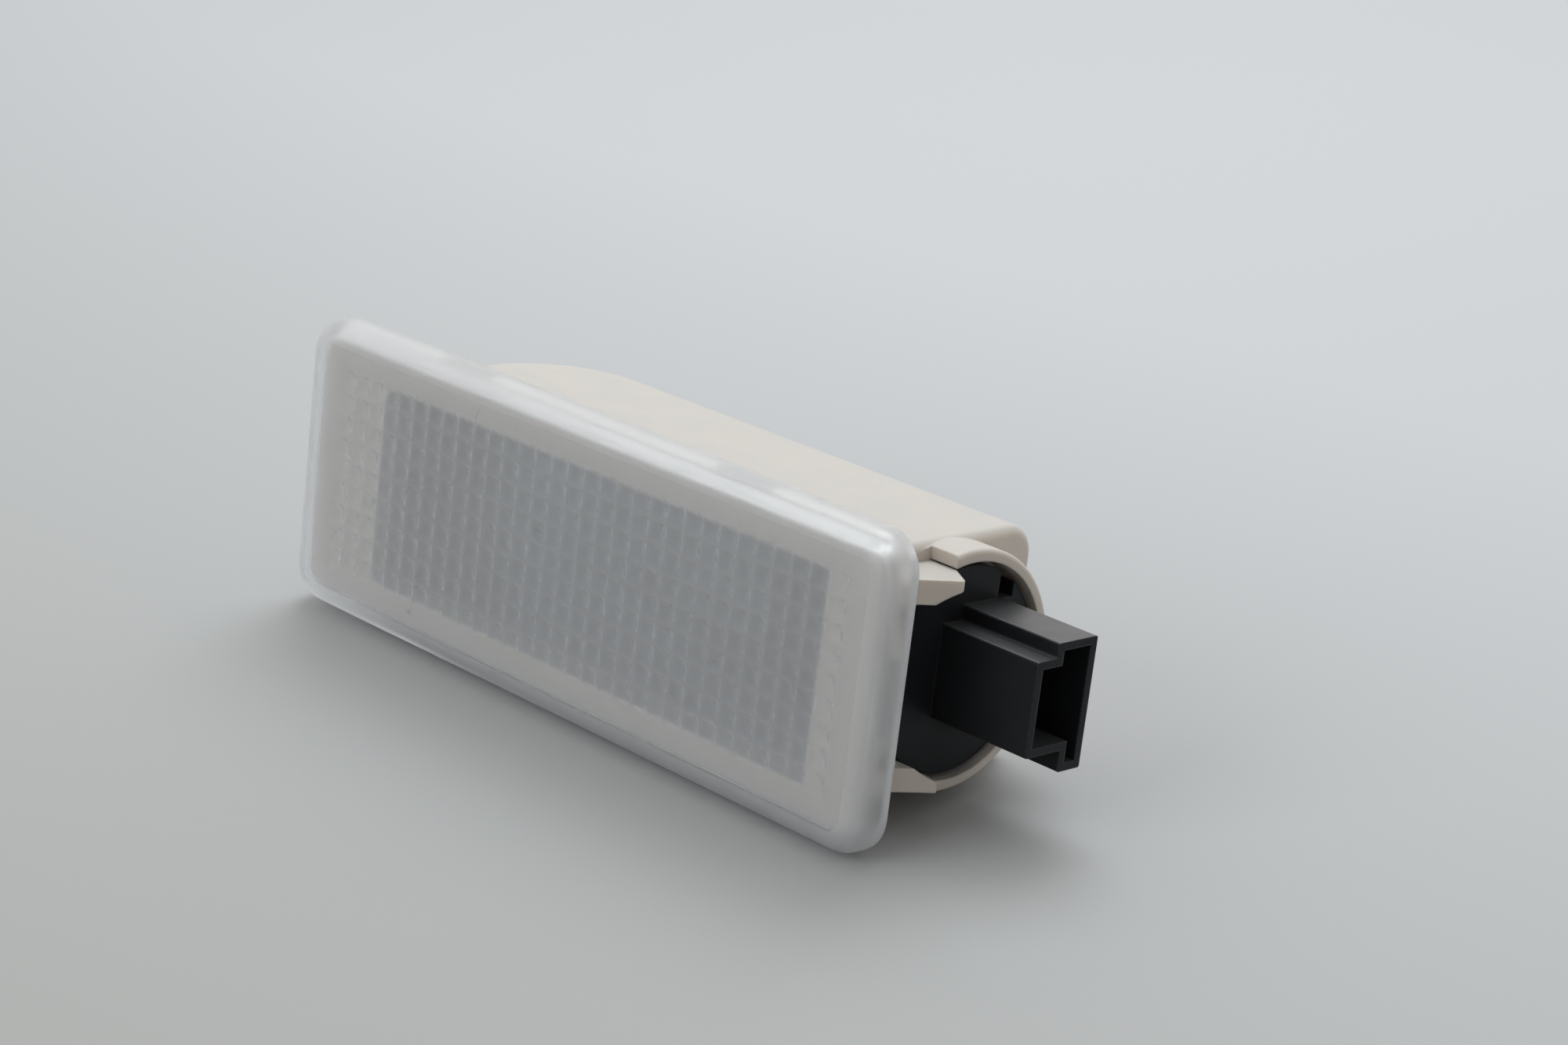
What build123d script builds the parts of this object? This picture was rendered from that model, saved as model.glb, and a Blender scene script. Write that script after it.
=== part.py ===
from build123d import *
import os

# Interior light of a car, in millimetres. The lamp faces -Y, +X runs along it to the plug socket, +Z is up.
# The origin is the middle of the panel's cut-out, on the plane where the lens rim bears on the panel.

# Lens
LENS_LENGTH = 80.0
LENS_HEIGHT = 29.0
LENS_DEPTH = 3.7
LENS_CORNER = 3.8
LENS_EDGE_ROUND = 2.3
LENS_WALL = 1.6
LENS_RIM = 2.0
PILLOW_PITCH = 2.25
PILLOW_DEPTH = 0.25
PILLOW_GROOVE = 0.9
PILLOW_MARGIN = 2.2
BEAD_LENGTH = 7.0
BEAD_REACH = 0.55

# Clearances: parts that are fitted once, a flange in its tray, parts that turn
FIT = 0.1
TRAY_GAP = 0.25
RUN = 0.25

# Housing body behind the flange
FLANGE_WALL = 1.2
BODY_LEFT = -29.7
BODY_RIGHT = 33.6
BODY_HALF_HEIGHT = 11.2
BODY_REAR = 21.9
BODY_WALL = 1.5
BODY_ROUND = 3.0
BODY_END_ROUND = 1.0
BODY_END_SWEEP = 12.0

# Collar and the bayonet seat of the bulb holder
AXIS_Y = 10.6
MOUTH_X = 36.8
COLLAR_RADIUS = 11.1
COLLAR_BORE = 10.0
COLLAR_LIP = 0.45
SEAT_BORE = 7.3
EAR_RADIUS = 9.0
EAR_WIDTH = 4.0
EAR_THICKNESS = 1.8
LOCK_ANGLE = 45.0
STOP_WIDTH = 1.6

# Snap lugs beside the collar
LUG_TIP_X = 39.4
LUG_TIP_Y = 6.5
LUG_ROOT_X = 35.2
LUG_BACK_X = 36.7
LUG_BACK_Y = 8.2
LUG_FACE_Z = 9.6
LUG_THICKNESS = 2.2
LUG_EDGE = 0.3

# Spring clip and its rails on the far end wall
SPRING_WIDTH = 10.0
SPRING_SHEET = 0.5
SPRING_LEG = 9.4
SPRING_BEND = 1.2
SPRING_BIGHT = 3.7
SPRING_KNEE = 7.7
SPRING_KNEE_Y = 4.6
SPRING_TOE = 4.5
SPRING_TOE_Y = 0.9
RAIL_WALL = 1.2
RAIL_LIP = 1.0
RAIL_LENGTH = 8.6

# Reflector
REFLECTOR_SHEET = 0.4
REFLECTOR_FRONT = 1.2
REFLECTOR_END = 26.0

# Bulb holder
DISC_RECESS = 0.6
DISC_GAP = 0.5
BARREL_RADIUS = 7.05
BARREL_LENGTH = 12.0
NOTCH_WIDTH = 1.9
NOTCH_SINK = 1.5
NOTCH_Y = 5.1
NOTCH_Z = 5.9

# Plug socket on the holder, given from the holder's axis
SOCKET_LENGTH = 10.5
SOCKET_FRONT = 2.65
SOCKET_REAR = 4.75
SOCKET_HALF_HEIGHT = 6.0
BLOCK_TOP = 4.65
BLOCK_BOTTOM = 4.0
TAB_TOP_Y = -0.2
TAB_BOTTOM_Y = 1.9
SOCKET_WALL = 0.75
SOCKET_FLOOR = 1.6
SOCKET_EDGE = 0.2

# Terminals
TERMINAL_SHEET = 0.6
PIN_WIDTH = 2.8
PIN_PITCH = 5.0
PIN_LENGTH = 4.4
PIN_POINT = 0.6
LEAF_WIDTH = 6.8
LEAF_ROOT = 2.2
LEAF_BEND = 0.8
LEAF_FLARE = 1.1

# Wedge bulb
BULB_LENGTH = 26.8
BULB_RADIUS = 5.0
BULB_WALL = 0.7
PINCH_WIDTH = 9.5
PINCH_THICKNESS = 2.5
PINCH_EDGE = 0.4
NECK_RADIUS = 3.2
NECK_LENGTH = 3.0
LEAD_RADIUS = 0.25
LEAD_SPREAD = 1.8
LEAD_FOLD = 4.6
FILAMENT_RADIUS = 0.3
FILAMENT_DEPTH = 6.2

# Places that follow from the sizes above
TRAY_LENGTH = LENS_LENGTH - 2 * LENS_RIM
TRAY_HEIGHT = LENS_HEIGHT - 2 * LENS_RIM
TRAY_CORNER = LENS_CORNER - LENS_RIM
TRAY_FLOOR = LENS_WALL - LENS_DEPTH
FLANGE_FRONT = TRAY_FLOOR + PILLOW_DEPTH + FIT
FLANGE_BACK = FLANGE_FRONT + FLANGE_WALL
SEAT_INNER = BODY_RIGHT - BODY_WALL
DISC_INNER = BODY_RIGHT + FIT
DISC_OUTER = MOUTH_X - DISC_RECESS
DISC_RADIUS = COLLAR_BORE - DISC_GAP
BARREL_END = DISC_INNER - BARREL_LENGTH
SOCKET_END = MOUTH_X + SOCKET_LENGTH
SOCKET_BOTTOM_X = DISC_OUTER + SOCKET_FLOOR
PIN_Y = AXIS_Y + (SOCKET_REAR - SOCKET_FRONT) / 2
PIN_Z = PIN_PITCH / 2
LEAF_ROOM_END = DISC_INNER - LEAF_ROOT
LEAF_Z = PINCH_THICKNESS / 2 + 2 * LEAD_RADIUS + FIT / 2 + TERMINAL_SHEET / 2
LEAF_ROOM_Z = PIN_Z + LEAF_FLARE + TERMINAL_SHEET / 2 + FIT
BULB_BASE = LEAF_ROOM_END - 4 * LEAD_RADIUS - FIT
BULB_SHOULDER = BARREL_END - FIT
BULB_TIP = BULB_BASE - BULB_LENGTH
FILAMENT_X = BULB_TIP + FILAMENT_DEPTH


def slab(length, height, corner, front, back):
    """A rounded rectangle that faces the light, between two planes across Y."""
    outline = Plane.XZ.offset(-back) * RectangleRounded(length, height, corner)
    return extrude(outline, back - front)


def block(x0, x1, y0, y1, z0, z1):
    """A box between two corners."""
    return Pos((x0 + x1) / 2, (y0 + y1) / 2, (z0 + z1) / 2) * Box(x1 - x0, y1 - y0, z1 - z0)


def rod(radius, x0, x1):
    """A cylinder on the holder's axis."""
    return Pos((x0 + x1) / 2, AXIS_Y, 0) * Rot(0, 90, 0) * Cylinder(radius, x1 - x0)


def on_axis(angle):
    """A turn about the holder's axis."""
    return Pos(0, AXIS_Y, 0) * Rot(angle, 0, 0) * Pos(0, -AXIS_Y, 0)


def bent_strip(path, width, thickness, across):
    """A sheet strip that follows a path of straight runs and bends."""
    section = Plane(origin=path @ 0, z_dir=path % 0, x_dir=across) * Rectangle(width, thickness)
    return sweep(section, path=path)


def pillow_field():
    """Small square pillows: a raised pad, cut by two crossing sets of grooves."""
    columns = int((TRAY_LENGTH - 2 * PILLOW_MARGIN) / PILLOW_PITCH)
    rows = int((TRAY_HEIGHT - 2 * PILLOW_MARGIN) / PILLOW_PITCH)
    length = columns * PILLOW_PITCH
    height = rows * PILLOW_PITCH
    top = TRAY_FLOOR + PILLOW_DEPTH
    pad = block(-length / 2, length / 2, TRAY_FLOOR, top, -height / 2, height / 2)
    groove = Polygon(
        (-PILLOW_GROOVE / 2, top), (0, TRAY_FLOOR), (PILLOW_GROOVE / 2, top), align=None
    )
    upright = extrude(groove, height / 2 + PILLOW_PITCH, both=True)
    level = Rot(0, 90, 0) * extrude(groove, length / 2 + PILLOW_PITCH, both=True)
    cuts = [Pos((k - columns / 2) * PILLOW_PITCH, 0, 0) * upright for k in range(columns + 1)]
    cuts += [Pos(0, 0, (k - rows / 2) * PILLOW_PITCH) * level for k in range(rows + 1)]
    return pad - cuts


def snap_bead(turn, reach_from):
    """A small ridge inside the rim that holds the flange in the tray."""
    catch = FLANGE_BACK + FIT
    ridge = Polygon((reach_from, catch), (reach_from - BEAD_REACH, catch), (reach_from, 0), align=None)
    return Rot(0, turn, 0) * extrude(ridge, BEAD_LENGTH / 2, both=True)


def make_lens():
    """Shallow milky tray: rounded front, rim towards the panel, pillows on the inside of the front wall."""
    lens = slab(LENS_LENGTH, LENS_HEIGHT, LENS_CORNER, -LENS_DEPTH, 0)
    lens = fillet(lens.faces().sort_by(Axis.Y)[0].edges(), LENS_EDGE_ROUND)
    lens -= slab(TRAY_LENGTH, TRAY_HEIGHT, TRAY_CORNER, TRAY_FLOOR, 0)
    lens += pillow_field()
    for turn in (0, 180):
        lens += snap_bead(turn, TRAY_LENGTH / 2)
    for turn in (90, -90):
        for side in (-1, 1):
            lens += Pos(side * TRAY_LENGTH / 4, 0, 0) * snap_bead(turn, TRAY_HEIGHT / 2)
    return lens


def body_form(inset, front):
    """The housing's closed form drawn in by inset, from a front plane back, its near end still square."""
    left = BODY_LEFT + inset
    right = BODY_RIGHT - inset
    rear = BODY_REAR - inset
    half = BODY_HALF_HEIGHT - inset
    plan = Polygon((left, front), (right, front), (right, rear), (left, rear), align=None)
    far_corner = plan.vertices().sort_by_distance((left, rear, 0))[0]
    form = extrude(fillet(far_corner, BODY_END_SWEEP - inset), half, both=True)
    levels = form.faces().sort_by(Axis.Z)
    long_edges = [level.edges().sort_by(Axis.X)[:-1].sort_by(Axis.Y)[1:] for level in (levels[0], levels[-1])]
    return fillet(long_edges[0] + long_edges[1], BODY_ROUND - inset)


def snap_lug(side):
    """Wedge beside the collar that catches behind the panel, cut to let the holder out."""
    plan = Polygon(
        (BODY_RIGHT - BODY_WALL, FLANGE_BACK),
        (LUG_ROOT_X, FLANGE_BACK),
        (LUG_TIP_X, LUG_TIP_Y),
        (LUG_BACK_X, LUG_BACK_Y),
        (BODY_RIGHT - BODY_WALL, LUG_BACK_Y),
        align=None,
    )
    tip = plan.vertices().sort_by(Axis.X)[-1]
    lug = extrude(fillet(tip, LUG_EDGE), LUG_THICKNESS / 2, both=True)
    lug = Pos(0, 0, side * (LUG_FACE_Z - LUG_THICKNESS / 2)) * lug
    return lug - rod(DISC_RADIUS + FIT, BODY_RIGHT, LUG_TIP_X + FIT)


def collar_step(side):
    """Room over a lug: the collar stops at the lug's outer face, in front of the lug's back."""
    outer = side * (COLLAR_RADIUS + FIT)
    face = side * LUG_FACE_Z
    return block(BODY_RIGHT, MOUTH_X + FIT, FLANGE_BACK, LUG_BACK_Y, min(face, outer), max(face, outer))


def spring_rail(side):
    """L-shaped rail that grips one edge of the spring clip's leg."""
    slot = SPRING_SHEET + 2 * FIT
    inner = SPRING_WIDTH / 2 + FIT
    outer = inner + RAIL_WALL
    face = BODY_LEFT - slot - RAIL_LIP
    wall = block(face, BODY_LEFT + FIT, FLANGE_BACK, RAIL_LENGTH, inner, outer)
    lip = block(face, face + RAIL_LIP, FLANGE_BACK, RAIL_LENGTH, inner - RAIL_LIP, inner)
    rail = wall + lip
    return rail if side > 0 else mirror(rail, Plane.XY)


def bayonet_ear(radius, width, x0, x1):
    """A pair of ears across the holder's axis, as one bar."""
    bar = block(x0, x1, AXIS_Y - 2 * radius, AXIS_Y + 2 * radius, -width / 2, width / 2)
    return bar & rod(radius, x0, x1)


def turn_stop(angle):
    """Pair of stops on the inside of the end wall, beside the ears at one end of their turn."""
    x0 = SEAT_INNER - EAR_THICKNESS
    away = EAR_WIDTH / 2 + RUN
    bar = block(x0, SEAT_INNER + FIT, AXIS_Y + SEAT_BORE, AXIS_Y + EAR_RADIUS, away, away + STOP_WIDTH)
    if angle == 0:
        bar = mirror(bar, Plane.XY)
    pair = bar + on_axis(180) * bar
    return on_axis(angle) * pair


def make_housing():
    """Cream moulding: flange, hollow body, collar, end wall with the bayonet seat, lugs and spring rails."""
    flange_length = TRAY_LENGTH - 2 * TRAY_GAP
    flange_height = TRAY_HEIGHT - 2 * TRAY_GAP
    body = body_form(0, FLANGE_FRONT)
    near_end = body.faces().sort_by(Axis.X)[-1]
    housing = fillet(near_end.edges().sort_by(Axis.Y)[1:], BODY_END_ROUND)
    housing += slab(flange_length, flange_height, TRAY_CORNER - TRAY_GAP, FLANGE_FRONT, FLANGE_BACK)
    collar = rod(COLLAR_RADIUS, BODY_RIGHT - BODY_ROUND, MOUTH_X)
    housing += fillet(collar.faces().sort_by(Axis.X)[-1].edges(), COLLAR_LIP)
    for side in (-1, 1):
        housing -= collar_step(side)
        housing += spring_rail(side)
    housing -= body_form(BODY_WALL, FLANGE_FRONT - FLANGE_WALL)
    housing -= rod(COLLAR_BORE, BODY_RIGHT, MOUTH_X + FIT)
    housing -= rod(SEAT_BORE, SEAT_INNER - FIT, BODY_RIGHT + FIT)
    keyway = bayonet_ear(EAR_RADIUS + RUN, EAR_WIDTH + 2 * RUN, SEAT_INNER - FIT, BODY_RIGHT + FIT)
    housing -= on_axis(LOCK_ANGLE) * keyway
    for side in (-1, 1):
        housing += snap_lug(side)
    housing += turn_stop(0)
    housing += turn_stop(LOCK_ANGLE)
    return housing


def make_reflector():
    """Bent sheet that lines the body, open to the lens and to the bulb."""
    outer = body_form(BODY_WALL + FIT, REFLECTOR_FRONT)
    inner = body_form(BODY_WALL + FIT + REFLECTOR_SHEET, REFLECTOR_FRONT - FIT)
    beyond = block(REFLECTOR_END, MOUTH_X, 0, BODY_REAR, -BODY_HALF_HEIGHT, BODY_HALF_HEIGHT)
    return outer - inner - beyond


def make_spring_clip():
    """Spring steel leaf: leg in the rails, tight bend, knee that catches behind the panel."""
    leg_x = BODY_LEFT - FIT - SPRING_SHEET / 2
    bend_y = SPRING_LEG + SPRING_BEND
    path = FilletPolyline(
        (leg_x, FLANGE_BACK + FIT, 0),
        (leg_x, bend_y, 0),
        (BODY_LEFT - SPRING_BIGHT, bend_y, 0),
        (BODY_LEFT - SPRING_KNEE, SPRING_KNEE_Y, 0),
        (BODY_LEFT - SPRING_TOE, SPRING_TOE_Y, 0),
        radius=SPRING_BEND,
    )
    return bent_strip(path, SPRING_WIDTH, SPRING_SHEET, (0, 0, 1))


def socket_outline():
    """Stepped outline of the plug socket, seen from its open end."""
    front = AXIS_Y - SOCKET_FRONT
    rear = AXIS_Y + SOCKET_REAR
    return Plane.YZ * Polygon(
        (front, -BLOCK_BOTTOM),
        (AXIS_Y + TAB_BOTTOM_Y, -BLOCK_BOTTOM),
        (AXIS_Y + TAB_BOTTOM_Y, -SOCKET_HALF_HEIGHT),
        (rear, -SOCKET_HALF_HEIGHT),
        (rear, SOCKET_HALF_HEIGHT),
        (AXIS_Y + TAB_TOP_Y, SOCKET_HALF_HEIGHT),
        (AXIS_Y + TAB_TOP_Y, BLOCK_TOP),
        (front, BLOCK_TOP),
        align=None,
    )


def make_bulb_holder():
    """Black moulding: disc in the collar, barrel with bayonet ears and bulb slot, plug socket outside."""
    holder = rod(DISC_RADIUS, DISC_INNER, DISC_OUTER)
    holder += rod(BARREL_RADIUS, BARREL_END, DISC_INNER)
    ear_back = SEAT_INNER - RUN
    holder += bayonet_ear(EAR_RADIUS, EAR_WIDTH, ear_back - EAR_THICKNESS, ear_back)
    outline = socket_outline()
    shell = Pos(DISC_INNER, 0, 0) * extrude(outline, SOCKET_END - DISC_INNER)
    shell = fillet(shell.edges().filter_by(Axis.X), SOCKET_EDGE)
    hollow = offset(outline, -SOCKET_WALL, kind=Kind.INTERSECTION)
    shell -= Pos(SOCKET_BOTTOM_X, 0, 0) * extrude(hollow, SOCKET_END - SOCKET_BOTTOM_X)
    holder += shell
    notch_y = AXIS_Y + NOTCH_Y
    holder -= block(
        DISC_OUTER - NOTCH_SINK, DISC_OUTER,
        notch_y - NOTCH_WIDTH / 2, notch_y + NOTCH_WIDTH / 2, NOTCH_Z, DISC_RADIUS,
    )
    slot_y = PINCH_WIDTH / 2 + RUN
    slot_z = PINCH_THICKNESS / 2 + RUN
    holder -= block(BARREL_END, LEAF_ROOM_END, AXIS_Y - slot_y, AXIS_Y + slot_y, -slot_z, slot_z)
    leaf_y = LEAF_WIDTH / 2 + FIT
    holder -= block(BARREL_END, LEAF_ROOM_END, AXIS_Y - leaf_y, AXIS_Y + leaf_y, -LEAF_ROOM_Z, LEAF_ROOM_Z)
    for side in (-1, 1):
        pin_y = PIN_WIDTH / 2 + FIT
        pin_z = TERMINAL_SHEET / 2 + FIT
        holder -= block(
            LEAF_ROOM_END, SOCKET_BOTTOM_X,
            PIN_Y - pin_y, PIN_Y + pin_y, side * PIN_Z - pin_z, side * PIN_Z + pin_z,
        )
    return holder


def make_terminal(side):
    """Stamped strip: pin in the plug socket, wider leaf that bears on the bulb's folded lead."""
    pin_tip = SOCKET_BOTTOM_X + PIN_LENGTH
    half = TERMINAL_SHEET / 2
    pin = block(
        LEAF_ROOM_END - LEAF_ROOT / 2, pin_tip,
        PIN_Y - PIN_WIDTH / 2, PIN_Y + PIN_WIDTH / 2, PIN_Z - half, PIN_Z + half,
    )
    pin = chamfer(pin.faces().sort_by(Axis.X)[-1].edges().filter_by(Axis.Z), PIN_POINT)
    root_x = LEAF_ROOM_END - FIT
    press_x = BULB_BASE - LEAD_FOLD / 2
    path = FilletPolyline(
        (root_x, AXIS_Y, PIN_Z),
        (root_x - LEAF_ROOT, AXIS_Y, PIN_Z),
        (press_x, AXIS_Y, LEAF_Z),
        (BARREL_END + FIT, AXIS_Y, PIN_Z + LEAF_FLARE),
        radius=LEAF_BEND,
    )
    terminal = pin + bent_strip(path, LEAF_WIDTH, TERMINAL_SHEET, (0, 1, 0))
    return terminal if side > 0 else mirror(terminal, Plane.XY)


def make_lead(side):
    """Bulb wire: from the filament through the pinch, then folded back over one flat of it."""
    y = AXIS_Y + side * LEAD_SPREAD
    fold_z = side * (PINCH_THICKNESS / 2 + LEAD_RADIUS)
    bend = abs(fold_z) / 2
    turn_x = BULB_BASE + bend
    straight = Line((FILAMENT_X, y, 0), (BULB_BASE, y, 0))
    fold = ThreePointArc((BULB_BASE, y, 0), (turn_x, y, fold_z / 2), (BULB_BASE, y, fold_z))
    back = Line((BULB_BASE, y, fold_z), (BULB_BASE - LEAD_FOLD, y, fold_z))
    path = Wire([straight, fold, back])
    return sweep(Plane(origin=path @ 0, z_dir=(1, 0, 0)) * Circle(LEAD_RADIUS), path=path)


def bulb_form(inset):
    """Round envelope with a domed tip and a drawn-in neck, less an inset all round."""
    radius = BULB_RADIUS - inset
    tip = BULB_TIP + inset
    shoulder = BULB_SHOULDER - 2 * inset
    full = BULB_SHOULDER - NECK_LENGTH
    dome = tip + radius
    neck = NECK_RADIUS - inset
    profile = Polyline((tip, 0), (shoulder, 0), (shoulder, neck))
    profile += TangentArc((full, radius), (shoulder, neck), tangent=(1, 0))
    profile += Line((full, radius), (dome, radius))
    profile += TangentArc((dome, radius), (tip, 0), tangent=(-1, 0))
    return Pos(0, AXIS_Y, 0) * revolve(make_face(profile.edges()), Axis.X)


def make_bulb_glass():
    """Clear envelope of the wedge bulb, hollow above its flat pinch."""
    half_width = PINCH_WIDTH / 2
    half_thick = PINCH_THICKNESS / 2
    pinch_top = BULB_SHOULDER - BULB_WALL
    pinch = block(pinch_top, BULB_BASE, AXIS_Y - half_width, AXIS_Y + half_width, -half_thick, half_thick)
    pinch = fillet(pinch.edges().filter_by(Axis.X), PINCH_EDGE)
    glass = bulb_form(0) + pinch - bulb_form(BULB_WALL)
    for side in (-1, 1):
        y = AXIS_Y + side * LEAD_SPREAD
        hole = Pos(BULB_SHOULDER, y, 0) * Rot(0, 90, 0) * Cylinder(LEAD_RADIUS + FIT / 2, 2 * BULB_LENGTH)
        glass -= hole & block(BULB_TIP + BULB_RADIUS, BULB_BASE, 0, BODY_REAR, -half_thick, half_thick)
    return glass


def make_filament():
    """Coil between the two wires, drawn as a slim rod."""
    reach = LEAD_SPREAD - LEAD_RADIUS
    return Pos(FILAMENT_X + FILAMENT_RADIUS, AXIS_Y, 0) * Rot(90, 0, 0) * Cylinder(FILAMENT_RADIUS, 2 * reach)


NODES = {
    "lens": make_lens,
    "housing": make_housing,
    "reflector": make_reflector,
    "spring_clip": make_spring_clip,
    "bulb_holder": make_bulb_holder,
    "terminal_upper": lambda: make_terminal(1),
    "terminal_lower": lambda: make_terminal(-1),
    "bulb_glass": make_bulb_glass,
    "bulb_lead_rear": lambda: make_lead(1),
    "bulb_lead_front": lambda: make_lead(-1),
    "bulb_filament": make_filament,
}

os.makedirs("parts", exist_ok=True)
for name, make in NODES.items():
    export_step(make(), f"parts/{name}.step")
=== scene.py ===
"""Interior light: its lens with pillows, a finish for every piece, and a studio stage."""

import math

import bmesh
import bpy
from bpy.props import FloatProperty, FloatVectorProperty, IntProperty, PointerProperty
from mathutils import Matrix, Vector


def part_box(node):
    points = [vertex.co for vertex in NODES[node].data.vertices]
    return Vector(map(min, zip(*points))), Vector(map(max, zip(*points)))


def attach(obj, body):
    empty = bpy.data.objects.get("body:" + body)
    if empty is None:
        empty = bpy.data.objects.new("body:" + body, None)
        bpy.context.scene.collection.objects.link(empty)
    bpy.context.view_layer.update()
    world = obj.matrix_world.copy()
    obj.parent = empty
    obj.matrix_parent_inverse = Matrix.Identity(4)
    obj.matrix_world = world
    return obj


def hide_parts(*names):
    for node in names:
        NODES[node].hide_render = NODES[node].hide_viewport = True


bl_info = {
    "name": "Interior Light",
    "version": (1, 0, 0),
    "blender": (4, 5, 0),
    "location": "3D View > Sidebar > Interior Light",
    "description": "Lens, finishes and studio stage of a car's interior light",
    "category": "Object",
}

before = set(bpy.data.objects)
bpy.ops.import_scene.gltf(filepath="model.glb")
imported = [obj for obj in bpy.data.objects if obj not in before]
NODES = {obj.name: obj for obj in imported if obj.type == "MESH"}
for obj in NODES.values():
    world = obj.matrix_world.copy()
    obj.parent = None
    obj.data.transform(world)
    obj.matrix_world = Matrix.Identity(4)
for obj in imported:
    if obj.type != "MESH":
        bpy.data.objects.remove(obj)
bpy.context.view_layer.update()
LENS_LOW, LENS_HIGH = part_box("lens")

# Places in the lens piece's list of finishes
SKIN, CROWN, FLANK, RIM, BORDER = range(5)

ROUND_STEPS = 10  # cuts in the outline's corners and in the round of the front edge
SMALL_STEPS = 3  # cuts in the small rounds of the rim
PILLOW_CUTS = 10  # cuts across one pillow
FLANK_CUTS_X, FLANK_CUTS_Z = 2, 1  # those at a pillow's sides that stay milky
FRONT_MARGIN = 0.0004  # flat band between the front edge's round and the front face

LENS_IOR = 1.49
GLASS_IOR = 1.5

FLOOR_TILT = math.radians(9.8)
FLOOR_HALF = 3.0
FLOOR_GAP = 0.0002
# The floor's band of painted shade in front of the light fades out between these places.
FLOOR_NEAR_Y, FLOOR_FAR_Y = -0.18, 0.12  # the darker band fades out behind between these
FLOOR_BAND_Y, FLOOR_BEYOND_Y = -0.3, -0.9  # and in front between these
SKY_TOWARD = (-0.55, 0.55, 0.63)
SKY_AWAY_DOT, SKY_TOWARD_DOT = -0.5, 1.0
KEY_PLACE, KEY_AIM = (-0.12, 0.17, 0.5), (0.02, 0.05, 0.0)
KEY_SIZE, KEY_COLOUR = (0.32, 0.3), (0.95, 0.98, 1.0)
FILL_PLACE, FILL_AIM = (-0.1, -0.6, 0.25), (-0.02, 0.0, 0.0)
FILL_SIZE, FILL_COLOUR = (0.4, 0.4), (0.96, 0.98, 1.0)
CAMERA_PLACE = (0.21663, -0.20113, 0.09244)
CAMERA_RIGHT = (0.69304, 0.71161, 0.11535)
CAMERA_UP = (-0.27938, 0.11761, 0.95295)
CAMERA_BACK = (0.66457, -0.69266, 0.28032)
CAMERA_SENSOR = 36.0
CAMERA_NEAREST = 0.01


def length_prop(label, text, size):
    """A size in metres."""
    return FloatProperty(name=label, description=text, default=size, min=0.0, precision=5, unit="LENGTH")


def colour_prop(label, text, colour):
    """A linear colour."""
    return FloatVectorProperty(
        name=label, description=text, default=colour, size=3, min=0.0, max=1.0, subtype="COLOR"
    )


def share_prop(label, text, share):
    """A value from nought to one."""
    return FloatProperty(name=label, description=text, default=share, min=0.0, max=1.0, subtype="FACTOR")


class LensSettings(bpy.types.PropertyGroup):
    """Shape and finish of the milky lens"""

    length: length_prop("Length", "Lens along the panel", LENS_HIGH.x - LENS_LOW.x)
    height: length_prop("Height", "Lens across the panel", LENS_HIGH.z - LENS_LOW.z)
    depth: length_prop("Depth", "Front face to rim", LENS_HIGH.y - LENS_LOW.y)
    corner: length_prop("Corner", "Radius of the outline's corners", 0.0038)
    edge_round: length_prop("Edge round", "Radius round the front face", 0.0023)
    rear_round: length_prop("Rear round", "Radius at the rim's rear edge", 0.0002)
    wall: length_prop("Wall", "Front wall under the pillows", 0.0016)
    rim: length_prop("Rim", "Width of the rim that bears on the panel", 0.0020)
    tray_round: length_prop("Tray round", "Radius at the foot of the rim's inside", 0.0003)
    pillow_pitch: length_prop("Pillow pitch", "Width of one pillow", 0.00225)
    pillow_depth: length_prop("Pillow depth", "Height of a pillow's crown", 0.00025)
    pillow_columns: IntProperty(name="Columns", description="Pillows along the lens", default=31, min=1)
    pillow_rows: IntProperty(name="Rows", description="Pillows across the lens", default=9, min=1)
    window_left: FloatProperty(
        name="Window left", description="End of the lit part", default=-0.0282, precision=5, unit="LENGTH"
    )
    window_right: length_prop("Window right", "Other end of the lit part", 0.0321)
    window_half: length_prop("Window half", "Half height of the lit part", 0.0097)
    bead_length: length_prop("Bead length", "Snap bead inside the rim", 0.0070)
    bead_reach: length_prop("Bead reach", "How far a bead stands in", 0.00055)
    bead_catch: length_prop("Bead catch", "Depth of a bead's holding face", 0.00045)
    tint: colour_prop("Tint", "Milky plastic", (0.955, 0.97, 0.99))
    # Painted light: the bluer crowns and lighter flanks stand in for the light and shade that the pillows'
    # refraction gives; their clearness differs as well.
    crown: colour_prop("Pillow crown", "Clear middle of a pillow", (0.84, 0.915, 1.0))
    flank: colour_prop("Pillow flank", "Milky sides of a pillow", (0.90, 0.945, 1.0))
    border: colour_prop("Border", "Pillows over the housing's flange", (0.965, 0.966, 0.964))
    clearness: share_prop("Clearness", "Light that passes the front skin", 0.77)
    rim_clearness: share_prop("Rim clearness", "Light that passes the thick rim", 0.73)
    crown_clearness: share_prop("Crown clearness", "Light that passes a pillow's middle", 0.86)
    flank_clearness: share_prop("Flank clearness", "Light that passes a pillow's sides", 0.80)
    border_clearness: share_prop("Border clearness", "Light that passes the outer pillows", 0.72)


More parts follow.
